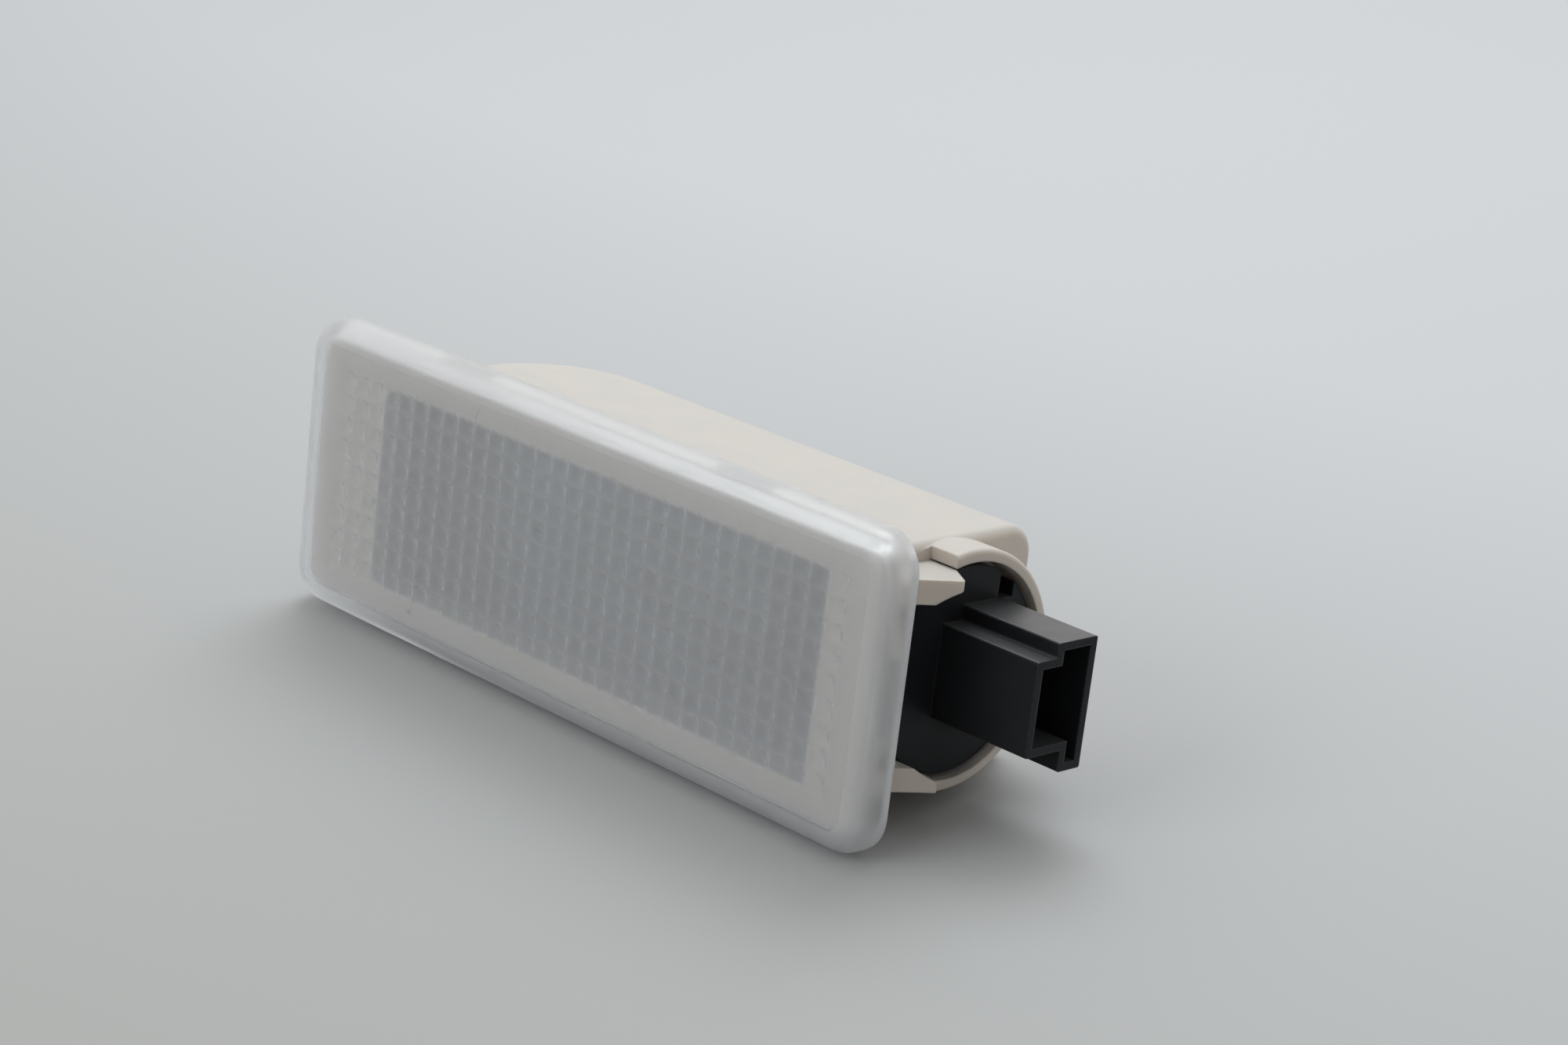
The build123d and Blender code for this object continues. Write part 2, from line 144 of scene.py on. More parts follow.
class FinishSettings(bpy.types.PropertyGroup):
    """Colours of the moulded and metal pieces"""

    cream: colour_prop("Cream", "Housing plastic", (0.63, 0.575, 0.515))
    cream_shade: colour_prop("Cream shade", "Darker mottle in the housing plastic", (0.50, 0.42, 0.35))
    # Painted top light: a greyer tone laid on the housing's upward faces for how the light from above falls
    # on them.
    cream_top_tone_painted: colour_prop("Cream dust", "Dusty tone of the housing's upper faces", (0.49, 0.485, 0.473))
    black: colour_prop("Black", "Bulb holder plastic", (0.0155, 0.0165, 0.019))
    # Lighter edges of the bulb holder: partly wear, partly a painted highlight.
    black_edge_worn_and_highlit: colour_prop("Black edge", "Rubbed edges of the bulb holder", (0.10, 0.105, 0.112))
    # Painted sheen: a lighter grey laid on the bulb holder's upward faces.
    black_top_sheen_painted: colour_prop("Black dust", "Dust on the bulb holder's upper faces", (0.055, 0.06, 0.064))
    # Painted shade: the sheet's dark bluish tone stands in for the shade in the chamber behind the lens.
    sheet: colour_prop("Reflector sheet", "Bright sheet behind the bulb", (0.22, 0.245, 0.29))
    steel: colour_prop("Spring steel", "Spring clip", (0.38, 0.38, 0.39))
    tin: colour_prop("Tinned brass", "Terminals", (0.66, 0.62, 0.53))
    wire: colour_prop("Bulb wire", "Leads and filament", (0.52, 0.50, 0.47))


class StageSettings(bpy.types.PropertyGroup):
    """Floor, light and camera"""

    floor: colour_prop("Floor", "Pale floor", (0.515, 0.535, 0.56))
    # Painted shade: the darker, warmer floor colour in front of the light.
    floor_painted_shade: colour_prop("Near floor", "Floor in front of the light", (0.305, 0.305, 0.285))
    sky: colour_prop("Sky", "Colour of the light from all round", (1.0, 0.985, 0.95))
    sky_low: FloatProperty(
        name="Sky low", description="Level of the light from the right front", default=0.26, min=0.0
    )
    sky_high: FloatProperty(
        name="Sky high", description="Level of the light from the left rear", default=0.95, min=0.0
    )
    sky_seen: FloatProperty(
        name="Sky seen", description="Least level of the sky as a backdrop", default=0.36, min=0.0
    )
    key_power: FloatProperty(
        name="Key power", description="Soft lamp above, behind and left", default=1.5, min=0.0, unit="POWER"
    )
    fill_power: FloatProperty(
        name="Fill power", description="Weak soft lamp in front", default=1.3, min=0.0, unit="POWER"
    )
    focal_length: FloatProperty(
        name="Focal length", description="Of the camera", default=77.4, min=1.0, subtype="DISTANCE_CAMERA"
    )


def ring_points(half_x, half_z, corner, y):
    """A rounded rectangle at one depth of the lens, as points in order."""
    points = []
    quarters = ((1, 1, 0), (-1, 1, 90), (-1, -1, 180), (1, -1, 270))
    for sx, sz, start in quarters:
        cx = sx * (half_x - corner)
        cz = sz * (half_z - corner)
        for k in range(ROUND_STEPS + 1):
            a = math.radians(start + 90 * k / ROUND_STEPS)
            points.append(Vector((cx + corner * math.cos(a), y, cz + corner * math.sin(a))))
    return points


def add_ring(bm, points):
    """Vertices at points."""
    return [bm.verts.new(p) for p in points]


def bridge(bm, one, other, material):
    """Quads between two rings of as many vertices."""
    count = len(one)
    for k in range(count):
        n = (k + 1) % count
        face = bm.faces.new((one[k], one[n], other[n], other[k]))
        face.material_index = material
        face.smooth = True


def ring_edges(bm, ring):
    """The edges round a ring."""
    count = len(ring)
    found = []
    for k in range(count):
        pair = (ring[k], ring[(k + 1) % count])
        found.append(bm.edges.get(pair) or bm.edges.new(pair))
    return found


def link_object(name, mesh):
    """A new object in the scene for a mesh."""
    piece = bpy.data.objects.new(name, mesh)
    bpy.context.scene.collection.objects.link(piece)
    return piece


def quarter_turn(steps):
    """Angles from nought to a right angle."""
    return [math.radians(90 * k / steps) for k in range(steps + 1)]


def tray_floor(s):
    """Depth of the tray's floor, from which the pillows rise."""
    return s.wall - s.depth


def lens_rings(s):
    """Inset and depth of each ring round the lens: from the front to the rim, then inside the tray."""
    outside = [(s.edge_round + FRONT_MARGIN, -s.depth)]
    shoulder = -s.depth + s.edge_round
    for a in reversed(quarter_turn(ROUND_STEPS)):
        outside.append((s.edge_round * (1 - math.cos(a)), shoulder - s.edge_round * math.sin(a)))
    for a in quarter_turn(SMALL_STEPS):
        outside.append((s.rear_round * (1 - math.cos(a)), -s.rear_round * (1 - math.sin(a))))
    inside = [(s.rim - s.rear_round / 2, 0.0), (s.rim, -s.rear_round / 2)]
    for a in quarter_turn(SMALL_STEPS):
        inset = s.rim + s.tray_round * (1 - math.cos(a))
        inside.append((inset, tray_floor(s) + s.tray_round * (1 - math.sin(a))))
    return outside, inside


def pillow_grid(bm, s):
    """Crowned square pillows on the tray's floor as one grid, and its border vertices in order."""
    cuts = PILLOW_CUTS
    floor = tray_floor(s)
    columns = s.pillow_columns * cuts
    rows = s.pillow_rows * cuts
    step = s.pillow_pitch / cuts
    grid = []
    for j in range(rows + 1):
        v = 2 * (j % cuts) / cuts - 1
        line = []
        for i in range(columns + 1):
            u = 2 * (i % cuts) / cuts - 1
            crown = (1 - u * u) * (1 - v * v)
            x = (i - columns / 2) * step
            z = (j - rows / 2) * step
            line.append(bm.verts.new((x, floor + s.pillow_depth * crown, z)))
        grid.append(line)
    for j in range(rows):
        for i in range(columns):
            face = bm.faces.new((grid[j][i], grid[j][i + 1], grid[j + 1][i + 1], grid[j + 1][i]))
            middle = grid[j][i].co + Vector((step / 2, 0.0, step / 2))
            lit = s.window_left < middle.x < s.window_right and abs(middle.z) < s.window_half
            clear_x = FLANK_CUTS_X <= i % cuts < cuts - FLANK_CUTS_X
            clear_z = FLANK_CUTS_Z <= j % cuts < cuts - FLANK_CUTS_Z
            pillow = CROWN if clear_x and clear_z else FLANK
            face.material_index = pillow if lit else BORDER
            face.smooth = True
    border = grid[0][:-1] + [line[-1] for line in grid[:-1]]
    border += grid[-1][:0:-1] + [line[0] for line in grid[:0:-1]]
    return border


def snap_bead(bm, s, turn, offset, reach_from):
    """A small ridge inside the rim, turned about the lens's middle."""
    half = s.bead_length / 2
    root = reach_from + s.rear_round
    profile = ((root, -s.bead_catch), (reach_from - s.bead_reach, -s.bead_catch), (root, 0.0))
    turned = Matrix.Translation((offset, 0, 0)) @ Matrix.Rotation(math.radians(turn), 4, "Y")
    ends = []
    for side in (-half, half):
        ends.append([bm.verts.new(turned @ Vector((x, y, side))) for x, y in profile])
    bm.faces.new(ends[0])
    bm.faces.new(ends[1])
    for k in range(len(profile)):
        n = (k + 1) % len(profile)
        bm.faces.new((ends[0][k], ends[0][n], ends[1][n], ends[1][k]))


def lens_mesh(s):
    """Rounded milky tray with its pillow grid and snap beads."""
    bm = bmesh.new()
    outside, inside = lens_rings(s)
    rings = []
    for inset, y in outside + inside:
        points = ring_points(s.length / 2 - inset, s.height / 2 - inset, s.corner - inset, y)
        rings.append(add_ring(bm, points))
    for k in range(len(rings) - 1):
        bridge(bm, rings[k], rings[k + 1], RIM if k else SKIN)
    front = bm.faces.new(rings[0])
    front.smooth = True
    border = pillow_grid(bm, s)
    edges = ring_edges(bm, rings[-1]) + ring_edges(bm, border)
    filled = bmesh.ops.triangle_fill(bm, edges=edges, use_beauty=True, normal=(0, 1, 0))
    for face in filled["geom"]:
        if isinstance(face, bmesh.types.BMFace):
            face.material_index = BORDER
            face.smooth = True
    half_x = s.length / 2 - s.rim
    half_z = s.height / 2 - s.rim
    for turn in (0, 180):
        snap_bead(bm, s, turn, 0.0, half_x)
    for turn in (90, -90):
        for side in (-1, 1):
            snap_bead(bm, s, turn, side * half_x / 2, half_z)
    bmesh.ops.recalc_face_normals(bm, faces=bm.faces)
    mesh = bpy.data.meshes.new("lens_piece")
    bm.to_mesh(mesh)
    bm.free()
    return mesh


class Nodes:
    """Short ways to place and join shader nodes in one tree"""

    def __init__(self, tree):
        self.tree = tree

    def add(self, kind, **values):
        """A node with its own properties set."""
        node = self.tree.nodes.new(kind)
        for key, value in values.items():
            setattr(node, key, value)
        return node

    def join(self, start, end):
        """A link from an output to an input."""
        self.tree.links.new(start, end)

    def fill(self, socket, value):
        """A link, a number or a colour into an input."""
        if isinstance(value, bpy.types.NodeSocket):
            self.join(value, socket)
        elif isinstance(value, (int, float)):
            socket.default_value = value
        else:
            socket.default_value = (*value, 1.0)

    def noise(self, vector, scale, detail=3.0, roughness=0.5):
        """A noise texture's value."""
        node = self.add("ShaderNodeTexNoise")
        self.fill(node.inputs["Scale"], scale)
        node.inputs["Detail"].default_value = detail
        node.inputs["Roughness"].default_value = roughness
        self.join(vector, node.inputs["Vector"])
        return node.outputs["Fac"]

    def remap(self, value, low, high, to_low=0.0, to_high=1.0):
        """A value moved from one range to another, and kept inside it."""
        node = self.add("ShaderNodeMapRange")
        ends = {"From Min": low, "From Max": high, "To Min": to_low, "To Max": to_high}
        for label, number in ends.items():
            node.inputs[label].default_value = number
        self.join(value, node.inputs["Value"])
        return node.outputs["Result"]

    def math(self, operation, one, other):
        """Two values, or a value and a number."""
        node = self.add("ShaderNodeMath", operation=operation)
        for socket, value in zip(node.inputs, (one, other)):
            self.fill(socket, value)
        return node.outputs["Value"]

    def blend(self, factor, one, other):
        """Two colours by a factor."""
        node = self.add("ShaderNodeMix", data_type="RGBA")
        for place, value in ((0, factor), (6, one), (7, other)):
            self.fill(node.inputs[place], value)
        return node.outputs[2]


def group_tree(name, inputs, outputs):
    """A shader node group with named value sockets, and its nodes."""
    tree = bpy.data.node_groups.new(name, "ShaderNodeTree")
    for label, default in inputs:
        socket = tree.interface.new_socket(label, in_out="INPUT", socket_type="NodeSocketFloat")
        socket.default_value = default
    for label, kind in outputs:
        tree.interface.new_socket(label, in_out="OUTPUT", socket_type=kind)
    nodes = Nodes(tree)
    return tree, nodes, nodes.add("NodeGroupInput").outputs, nodes.add("NodeGroupOutput").inputs


def moulded_grain_group():
    """Fine grain of a mould's surface, slow drift of its tone, and specks."""
    name = "Moulded Grain"
    if name in bpy.data.node_groups:
        return bpy.data.node_groups[name]
    tree, nodes, given, out = group_tree(
        name,
        (("Grain Scale", 4000.0), ("Drift Scale", 120.0)),
        (("Grain", "NodeSocketFloat"), ("Drift", "NodeSocketFloat"), ("Speck", "NodeSocketFloat")),
    )
    place = nodes.add("ShaderNodeTexCoord").outputs["Object"]
    nodes.join(nodes.noise(place, given["Grain Scale"], 2.0), out["Grain"])
    drift = nodes.noise(place, given["Drift Scale"], 4.0, 0.6)
    nodes.join(nodes.remap(drift, 0.38, 0.68), out["Drift"])
    speck = nodes.add("ShaderNodeTexVoronoi", feature="F1")
    nodes.join(place, speck.inputs["Vector"])
    nodes.join(nodes.math("MULTIPLY", given["Drift Scale"], 6.0), speck.inputs["Scale"])
    nodes.join(nodes.remap(speck.outputs["Distance"], 0.14, 0.05), out["Speck"])
    return tree


def scuff_group():
    """Sparse hair-thin scuffs."""
    name = "Scuffs"
    if name in bpy.data.node_groups:
        return bpy.data.node_groups[name]
    tree, nodes, given, out = group_tree(
        name, (("Scale", 90.0), ("Share", 0.6)), (("Scuff", "NodeSocketFloat"),)
    )
    place = nodes.add("ShaderNodeTexCoord").outputs["Object"]
    path = nodes.noise(place, given["Scale"], 1.0)
    line = nodes.add("ShaderNodeMath", operation="COMPARE")
    for socket, value in zip(line.inputs, (path, 0.5, 0.0025)):
        nodes.fill(socket, value)
    patch = nodes.noise(place, nodes.math("MULTIPLY", given["Scale"], 2.3), 2.0)
    shown = nodes.math("GREATER_THAN", patch, given["Share"])
    nodes.join(nodes.math("MULTIPLY", line.outputs["Value"], shown), out["Scuff"])
    return tree


def painted_top_light_group():
    """Mask of the faces that look up, a little uneven, for painted top light."""
    name = "Settled Dust"
    if name in bpy.data.node_groups:
        return bpy.data.node_groups[name]
    tree, nodes, given, out = group_tree(name, (("Share", 0.8),), (("Top Light", "NodeSocketFloat"),))
    place = nodes.add("ShaderNodeTexCoord").outputs
    parts = nodes.add("ShaderNodeSeparateXYZ")
    nodes.join(place["Normal"], parts.inputs["Vector"])
    upward = nodes.remap(parts.outputs["Z"], 0.4, 0.95)
    uneven = nodes.remap(nodes.noise(place["Object"], 220.0), 0.35, 0.65, 0.85, 1.0)
    shown = nodes.math("MULTIPLY", upward, given["Share"])
    nodes.join(nodes.math("MULTIPLY", shown, uneven), out["Top Light"])
    return tree


def soft_edge_group():
    """Rounded normals at edges, and a mask of the edges."""
    name = "Soft Edge"
    if name in bpy.data.node_groups:
        return bpy.data.node_groups[name]
    tree, nodes, given, out = group_tree(
        name, (("Radius", 0.0003),), (("Normal", "NodeSocketVector"), ("Edge", "NodeSocketFloat"))
    )
    bevel = nodes.add("ShaderNodeBevel", samples=6)
    nodes.join(given["Radius"], bevel.inputs["Radius"])
    nodes.join(bevel.outputs["Normal"], out["Normal"])
    plain = nodes.add("ShaderNodeNewGeometry").outputs["Normal"]
    meet = nodes.add("ShaderNodeVectorMath", operation="DOT_PRODUCT")
    nodes.join(bevel.outputs["Normal"], meet.inputs[0])
    nodes.join(plain, meet.inputs[1])
    turned = nodes.remap(meet.outputs["Value"], 0.995, 0.86)
    open_air = nodes.add("ShaderNodeAmbientOcclusion", samples=6)
    nodes.join(nodes.math("MULTIPLY", given["Radius"], 3.0), open_air.inputs["Distance"])
    outward = nodes.remap(open_air.outputs["AO"], 0.72, 0.96)
    nodes.join(nodes.math("MULTIPLY", turned, outward), out["Edge"])
    return tree


def drawn_metal_group():
    """Fine streaks along the lamp and slow clouds, as rolling or drawing leaves them on metal."""
    name = "Drawn Metal"
    if name in bpy.data.node_groups:
        return bpy.data.node_groups[name]
    tree, nodes, given, out = group_tree(
        name,
        (("Streak Scale", 5000.0), ("Cloud Scale", 260.0)),
        (("Streak", "NodeSocketFloat"), ("Cloud", "NodeSocketFloat")),
    )
    place = nodes.add("ShaderNodeTexCoord").outputs["Object"]
    stretch = nodes.add("ShaderNodeMapping")
    stretch.inputs["Scale"].default_value = (0.08, 1.0, 1.0)
    nodes.join(place, stretch.inputs["Vector"])
    nodes.join(nodes.noise(stretch.outputs["Vector"], given["Streak Scale"], 4.0), out["Streak"])
    nodes.join(nodes.remap(nodes.noise(place, given["Cloud Scale"]), 0.35, 0.7), out["Cloud"])
    return tree


def toned(colour, level):
    """A colour made darker or lighter."""
    return [min(1.0, level * c) for c in colour]


def between(one, other, share):
    """A colour part of the way from one to another."""
    return [a + share * (b - a) for a, b in zip(one, other)]


def new_finish(name):
    """A material with a bare shader: the material, its nodes and the shader's inputs."""
    material = bpy.data.materials.new(name)
    material.use_nodes = True
    material.node_tree.nodes.clear()
    nodes = Nodes(material.node_tree)
    shader = nodes.add("ShaderNodeBsdfPrincipled")
    output = nodes.add("ShaderNodeOutputMaterial")
    nodes.join(shader.outputs["BSDF"], output.inputs["Surface"])
    return material, nodes, shader.inputs


def place_group(nodes, tree, **values):
    """A group in a material, with its own values."""
    node = nodes.add("ShaderNodeGroup", node_tree=tree)
    for label, value in values.items():
        node.inputs[label.replace("_", " ")].default_value = value
    return node.outputs


def bump(nodes, height, strength, distance, normal=None):
    """A normal from a height."""
    node = nodes.add("ShaderNodeBump")
    node.inputs["Strength"].default_value = strength
    node.inputs["Distance"].default_value = distance
    nodes.join(height, node.inputs["Height"])
    if normal is not None:
        nodes.join(normal, node.inputs["Normal"])
    return node.outputs["Normal"]


def moulded_finish(name, body, shade, edge, roughness):
    """Moulded plastic: slow tone drift, fine grain, soft edges, and lighter edges that are partly worn and
    partly a painted highlight.
    """
    material, nodes, shader = new_finish(name)
    grain = place_group(nodes, moulded_grain_group(), Grain_Scale=3500.0, Drift_Scale=140.0)
    soft = place_group(nodes, soft_edge_group(), Radius=0.00025)
    drifting = nodes.blend(grain["Drift"], body, shade)
    uneven = nodes.remap(grain["Grain"], 0.35, 0.65, 0.15, 0.5)
    # Lighter edges, partly wear and partly a painted highlight.
    worn_and_highlit = nodes.math("MULTIPLY", soft["Edge"], uneven)
    nodes.join(nodes.blend(worn_and_highlit, drifting, edge), shader["Base Color"])
    nodes.join(nodes.remap(grain["Drift"], 0.0, 1.0, *roughness), shader["Roughness"])
    nodes.join(bump(nodes, grain["Grain"], 0.12, 0.00005, soft["Normal"]), shader["Normal"])
    return material, nodes, shader


def lay_over(nodes, shader, mask, colour):
    """A colour laid by a mask over what the shader's colour is so far."""
    below = shader["Base Color"].links[0].from_socket
    nodes.join(nodes.blend(mask, below, colour), shader["Base Color"])


def cream_finish(s):
    """Cream housing plastic with a faint brownish mottle, specks and scuffs, edges lightened partly as wear
    and partly as a painted highlight, and a greyer tone painted on the upward faces as top light.
    """
    shade = between(s.cream, s.cream_shade, 0.16)
    # The lighter edge colour is partly wear and partly a painted highlight.
    edge = toned(s.cream, 1.06)
    material, nodes, shader = moulded_finish("housing_cream", s.cream, shade, edge, (0.42, 0.52))
    specks = place_group(nodes, moulded_grain_group(), Drift_Scale=60.0)["Speck"]
    scuffs = place_group(nodes, scuff_group(), Scale=260.0, Share=0.64)["Scuff"]
    grime = nodes.math("MULTIPLY", nodes.math("MAXIMUM", specks, scuffs), 0.35)
    lay_over(nodes, shader, grime, s.cream_shade)
    # Painted top light: the upward faces get a greyer tone for how the light from above falls on them.
    upward_light = place_group(nodes, painted_top_light_group(), Share=0.75)["Top Light"]
    lay_over(nodes, shader, upward_light, s.cream_top_tone_painted)
    shader["Subsurface Weight"].default_value = 0.3
    shader["Subsurface Radius"].default_value = (0.0010, 0.0008, 0.0006)
    shader["Subsurface Scale"].default_value = 1.0
    return material


def black_finish(s):
    """Satin black plastic with lighter edges, partly worn and partly a painted highlight, and a painted
    sheen on top under a real coat.
    """
    deep = toned(s.black, 0.75)
    material, nodes, shader = moulded_finish("holder_black", s.black, deep, s.black_edge_worn_and_highlit, (0.32, 0.42))
    # Painted sheen: the upward faces get a lighter grey for the sheen they show; the same mask sets a real
    # coat.
    upward_light = place_group(nodes, painted_top_light_group(), Share=0.65)["Top Light"]
    lay_over(nodes, shader, upward_light, s.black_top_sheen_painted)
    nodes.join(upward_light, shader["Coat Weight"])
    shader["Coat Roughness"].default_value = 0.37
    shader["Specular IOR Level"].default_value = 0.12
    return material


def metal_finish(name, colour, roughness, depth):
    """Rolled or drawn metal with fine streaks along the lamp."""
    material, nodes, shader = new_finish(name)
    drawn = place_group(nodes, drawn_metal_group(), Streak_Scale=5000.0, Cloud_Scale=260.0)
    nodes.join(nodes.blend(drawn["Cloud"], colour, toned(colour, 0.8)), shader["Base Color"])
    uneven = nodes.remap(drawn["Streak"], 0.3, 0.7, roughness - 0.08, roughness + 0.1)
    nodes.join(uneven, shader["Roughness"])
    nodes.join(bump(nodes, drawn["Streak"], depth, 0.00002), shader["Normal"])
    shader["Metallic"].default_value = 1.0
    return material


def glass_finish():
    """Clear bulb glass with faint unevenness."""
    material, nodes, shader = new_finish("bulb_glass_clear")
    place = nodes.add("ShaderNodeTexCoord").outputs["Object"]
    wave = nodes.noise(place, 300.0, 2.0)
    nodes.join(nodes.blend(wave, (0.96, 0.97, 0.97), (0.99, 0.99, 0.99)), shader["Base Color"])
    nodes.join(nodes.remap(wave, 0.3, 0.7, 0.0, 0.05), shader["Roughness"])
    nodes.join(bump(nodes, wave, 0.05, 0.0001), shader["Normal"])
    shader["Transmission Weight"].default_value = 1.0
    shader["IOR"].default_value = GLASS_IOR
    return material


def lens_skin_finish(name, s, clearness, roughness, wear):
    """Outer skin of the lens: milky, satin, with fine scuffs."""
    material, nodes, shader = new_finish(name)
    grain = place_group(nodes, moulded_grain_group(), Grain_Scale=2500.0, Drift_Scale=60.0)
    scuff = place_group(nodes, scuff_group(), Scale=170.0, Share=0.63)["Scuff"]
    clean = nodes.blend(grain["Drift"], s.tint, toned(s.tint, 0.97))
    nodes.join(nodes.blend(scuff, clean, toned(s.tint, 1.0 - wear)), shader["Base Color"])
    satin = nodes.remap(grain["Drift"], 0.0, 1.0, roughness, roughness + 0.06)
    nodes.join(satin, shader["Roughness"])
    nodes.join(bump(nodes, grain["Grain"], 0.05, 0.00003), shader["Normal"])
    shader["Transmission Weight"].default_value = clearness
    shader["IOR"].default_value = LENS_IOR
    return material


def lens_inside_finish(name, colour, clearness):
    """Pillow side of the lens, as clear as it is at that place."""
    material, nodes, shader = new_finish(name)
    grain = place_group(nodes, moulded_grain_group(), Grain_Scale=2500.0, Drift_Scale=90.0)
    milk = nodes.blend(grain["Drift"], colour, toned(colour, 0.97))
    nodes.join(milk, shader["Base Color"])
    nodes.join(nodes.remap(grain["Drift"], 0.0, 1.0, 0.58, 0.64), shader["Roughness"])
    shader["Transmission Weight"].default_value = clearness
    shader["IOR"].default_value = LENS_IOR
    return material


def dress(node_name, material):
    """A finish on one of the frame's own pieces."""
    mesh = NODES[node_name].data
    if not mesh.materials:
        mesh.materials.append(material)
    for k in range(len(mesh.materials)):
        mesh.materials[k] = material


class LAMP_OT_lens(bpy.types.Operator):
    """Build the milky lens with its pillow grid"""

    bl_idname = "interior_lamp.lens"
    bl_label = "Lens"

    def execute(self, context):
        s = context.scene.lamp_lens
        piece = link_object("lens_piece", lens_mesh(s))
        finishes = {
            SKIN: lens_skin_finish("lens_milky", s, s.clearness, 0.20, 0.35),
            CROWN: lens_inside_finish("lens_crowns", s.crown, s.crown_clearness),
            FLANK: lens_inside_finish("lens_flanks", s.flank, s.flank_clearness),
            RIM: lens_skin_finish("lens_rim", s, s.rim_clearness, 0.30, 0.0),
            BORDER: lens_inside_finish("lens_border", s.border, s.border_clearness),
        }
        for place in sorted(finishes):
            piece.data.materials.append(finishes[place])
        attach(piece, "lamp")
        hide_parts("lens")
        return {"FINISHED"}


class LAMP_OT_housing(bpy.types.Operator):
    """Finish the cream housing"""

    bl_idname = "interior_lamp.housing"
    bl_label = "Housing"

    def execute(self, context):
        dress("housing", cream_finish(context.scene.lamp_finish))
        return {"FINISHED"}


class LAMP_OT_bulb_holder(bpy.types.Operator):
    """Finish the black bulb holder"""

    bl_idname = "interior_lamp.bulb_holder"
    bl_label = "Bulb holder"

    def execute(self, context):
        dress("bulb_holder", black_finish(context.scene.lamp_finish))
        return {"FINISHED"}


class LAMP_OT_metal(bpy.types.Operator):
    """Finish the reflector, the spring clip and the terminals"""

    bl_idname = "interior_lamp.metal"
    bl_label = "Metal pieces"

    def execute(self, context):
        s = context.scene.lamp_finish
        # Painted shade: the sheet's dark bluish tone stands in for the shade in the chamber behind the
        # lens.
        dress("reflector", metal_finish("reflector_sheet", s.sheet, 0.3, 0.1))
        dress("spring_clip", metal_finish("spring_steel", s.steel, 0.34, 0.3))
        tin = metal_finish("terminal_metal", s.tin, 0.3, 0.2)
        for side in ("upper", "lower"):
            dress(f"terminal_{side}", tin)
        return {"FINISHED"}


class LAMP_OT_bulb(bpy.types.Operator):
    """Finish the wedge bulb: glass, leads and filament"""

    bl_idname = "interior_lamp.bulb"
    bl_label = "Bulb"

    def execute(self, context):
        wire = metal_finish("bulb_wire", context.scene.lamp_finish.wire, 0.3, 0.2)
        dress("bulb_glass", glass_finish())
        for name in ("bulb_lead_rear", "bulb_lead_front", "bulb_filament"):
            dress(name, wire)
        return {"FINISHED"}


def floor_finish(s):
    """Pale floor, with a band of painted shade in front of the light."""
    material, nodes, shader = new_finish("floor_pale")
    place = nodes.add("ShaderNodeTexCoord").outputs["Object"]
    parts = nodes.add("ShaderNodeSeparateXYZ")
    nodes.join(place, parts.inputs["Vector"])
    behind = nodes.remap(parts.outputs["Y"], FLOOR_NEAR_Y, FLOOR_FAR_Y)
    beyond = nodes.remap(parts.outputs["Y"], FLOOR_BAND_Y, FLOOR_BEYOND_Y)
    pale = nodes.math("MAXIMUM", behind, beyond)
    # Painted shade: the floor turns darker and warmer in front of the light.
    nodes.join(nodes.blend(pale, s.floor_painted_shade, s.floor), shader["Base Color"])
    shader["Roughness"].default_value = 0.75
    shader["Specular IOR Level"].default_value = 0.2
    return material


def make_floor(s):
    """Flat floor under the light's leaning rest: its lens rim and the rear of its housing."""
    bm = bmesh.new()
    bmesh.ops.create_grid(bm, x_segments=1, y_segments=1, size=FLOOR_HALF)
    mesh = bpy.data.meshes.new("floor")
    bm.to_mesh(mesh)
    bm.free()
    floor = link_object("floor", mesh)
    floor.rotation_euler = (FLOOR_TILT, 0.0, 0.0)
    floor.location = (0.0, 0.0, LENS_LOW.z - FLOOR_GAP)
    mesh.materials.append(floor_finish(s))


def soft_lamp(name, place, aim, size, power, colour):
    """A soft lamp that looks at a point."""
    data = bpy.data.lights.new(name, "AREA")
    data.shape = "RECTANGLE"
    data.size, data.size_y = size
    data.energy = power
    data.color = colour
    lamp = bpy.data.objects.new(name, data)
    lamp.location = place
    lamp.rotation_euler = (Vector(aim) - Vector(place)).to_track_quat("-Z", "Y").to_euler()
    bpy.context.scene.collection.objects.link(lamp)


def make_sky(s):
    """Pale light from all round, stronger from above and behind at the left."""
    world = bpy.data.worlds.new("studio")
    world.use_nodes = True
    nodes = Nodes(world.node_tree)
    shade = world.node_tree.nodes["Background"]
    toward = nodes.add("ShaderNodeVectorMath", operation="DOT_PRODUCT")
    nodes.join(nodes.add("ShaderNodeTexCoord").outputs["Generated"], toward.inputs[0])
    toward.inputs[1].default_value = SKY_TOWARD
    dot = toward.outputs["Value"]
    level = nodes.remap(dot, SKY_AWAY_DOT, SKY_TOWARD_DOT, s.sky_low, s.sky_high)
    # What the camera, metal and glass see of the sky is as pale as the floor's far edge
    rays = nodes.add("ShaderNodeLightPath").outputs
    looking = nodes.math("MAXIMUM", rays["Is Camera Ray"], rays["Is Glossy Ray"])
    looking = nodes.math("MAXIMUM", looking, rays["Is Transmission Ray"])
    backdrop = nodes.math("MULTIPLY", looking, s.sky_seen)
    nodes.join(nodes.math("MAXIMUM", level, backdrop), shade.inputs["Strength"])
    shade.inputs["Color"].default_value = (*s.sky, 1.0)
    bpy.context.scene.world = world


def make_camera(s):
    """Camera at the photograph's place."""
    data = bpy.data.cameras.new("camera")
    data.sensor_fit = "HORIZONTAL"
    data.sensor_width = CAMERA_SENSOR
    data.lens = s.focal_length
    data.clip_start = CAMERA_NEAREST
    camera = bpy.data.objects.new("camera", data)
    columns = (*CAMERA_RIGHT, 0.0), (*CAMERA_UP, 0.0), (*CAMERA_BACK, 0.0), (*CAMERA_PLACE, 1.0)
    camera.matrix_world = Matrix(columns).transposed()
    bpy.context.scene.collection.objects.link(camera)
    bpy.context.scene.camera = camera


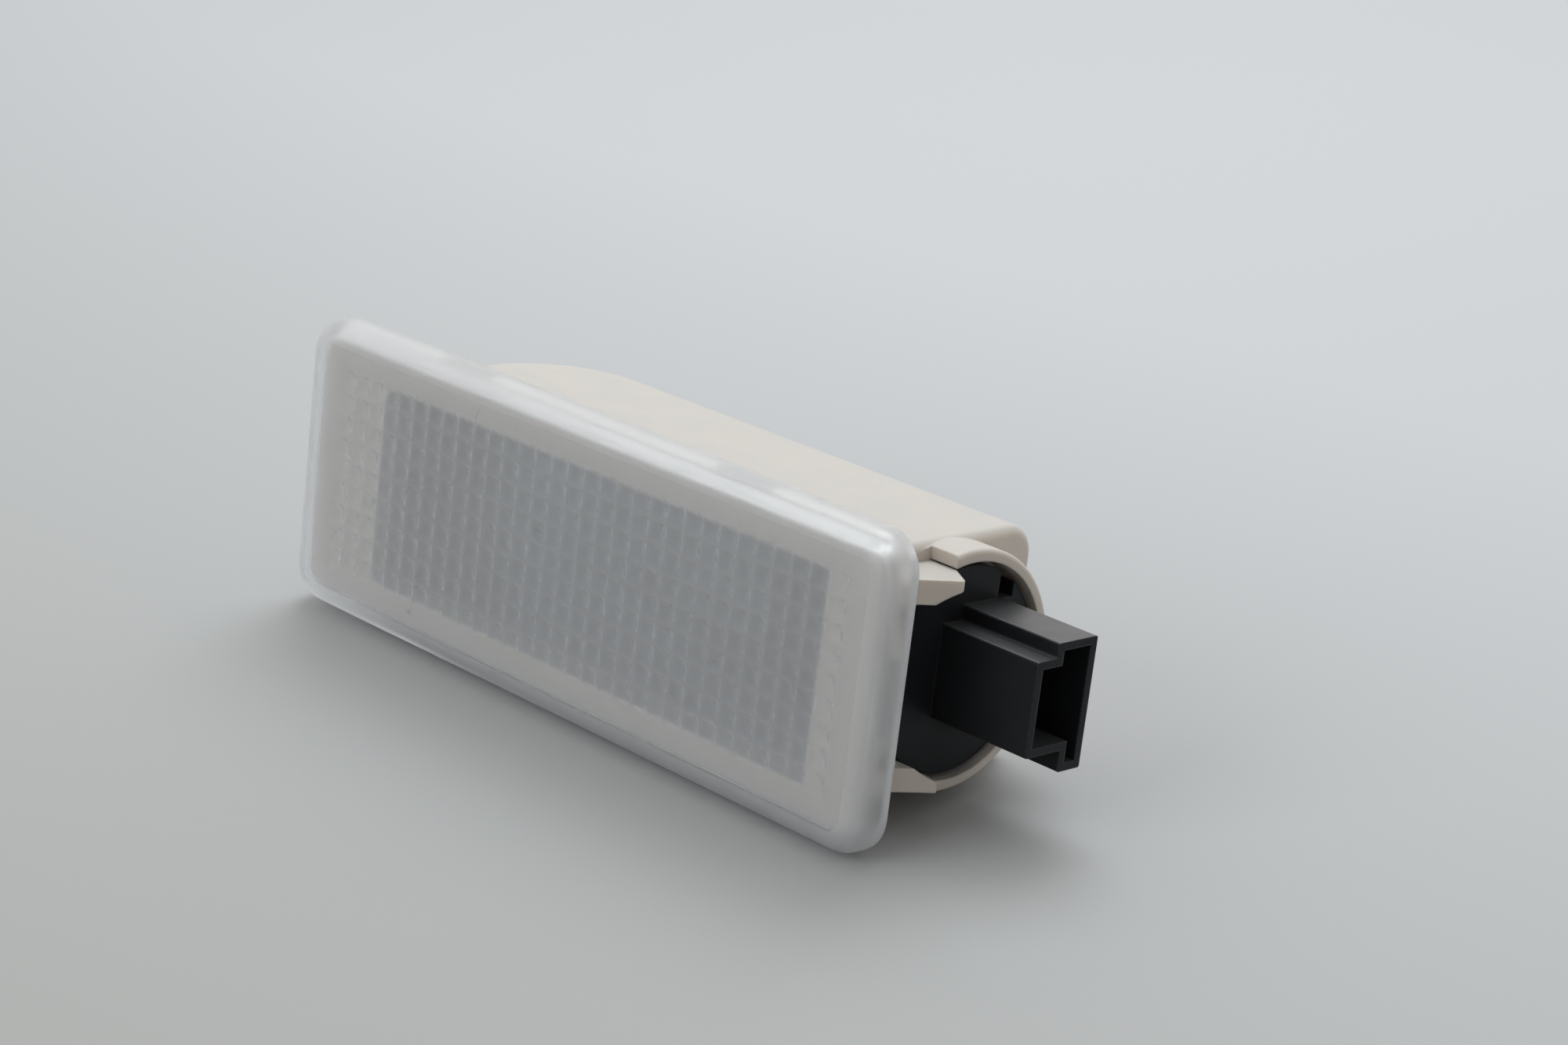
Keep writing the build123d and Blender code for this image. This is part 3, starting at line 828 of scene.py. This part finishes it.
class LAMP_OT_stage(bpy.types.Operator):
    """Set up the floor, the light and the camera"""

    bl_idname = "interior_lamp.stage"
    bl_label = "Stage"

    def execute(self, context):
        s = context.scene.lamp_stage
        make_floor(s)
        make_sky(s)
        soft_lamp("key", KEY_PLACE, KEY_AIM, KEY_SIZE, s.key_power, KEY_COLOUR)
        soft_lamp("fill", FILL_PLACE, FILL_AIM, FILL_SIZE, s.fill_power, FILL_COLOUR)
        make_camera(s)
        context.scene.view_settings.view_transform = "Standard"
        return {"FINISHED"}


class LAMP_PT_panel(bpy.types.Panel):
    """Settings and steps of the interior light"""

    bl_idname = "LAMP_PT_panel"
    bl_label = "Interior Light"
    bl_space_type = "VIEW_3D"
    bl_region_type = "UI"
    bl_category = "Interior Light"

    def draw(self, context):
        for label, settings in (
            ("Lens", context.scene.lamp_lens),
            ("Finishes", context.scene.lamp_finish),
            ("Stage", context.scene.lamp_stage),
        ):
            box = self.layout.box()
            box.label(text=label)
            for name in settings.__annotations__:
                box.prop(settings, name)
        for operator in OPERATORS:
            self.layout.operator(operator.bl_idname)


SETTINGS = {"lamp_lens": LensSettings, "lamp_finish": FinishSettings, "lamp_stage": StageSettings}
OPERATORS = (
    LAMP_OT_lens,
    LAMP_OT_housing,
    LAMP_OT_bulb_holder,
    LAMP_OT_metal,
    LAMP_OT_bulb,
    LAMP_OT_stage,
)


def register():
    """Make the settings, the operators and the panel known."""
    for name, group in SETTINGS.items():
        bpy.utils.register_class(group)
        setattr(bpy.types.Scene, name, PointerProperty(type=group))
    for operator in OPERATORS:
        bpy.utils.register_class(operator)
    bpy.utils.register_class(LAMP_PT_panel)


def unregister():
    """Take them away again."""
    bpy.utils.unregister_class(LAMP_PT_panel)
    for operator in reversed(OPERATORS):
        bpy.utils.unregister_class(operator)
    for name, group in SETTINGS.items():
        delattr(bpy.types.Scene, name)
        bpy.utils.unregister_class(group)


def main():
    """Build the light and its stage."""
    register()
    bpy.ops.interior_lamp.lens()
    bpy.ops.interior_lamp.housing()
    bpy.ops.interior_lamp.bulb_holder()
    bpy.ops.interior_lamp.metal()
    bpy.ops.interior_lamp.bulb()
    bpy.ops.interior_lamp.stage()


if __name__ == "__main__":
    main()
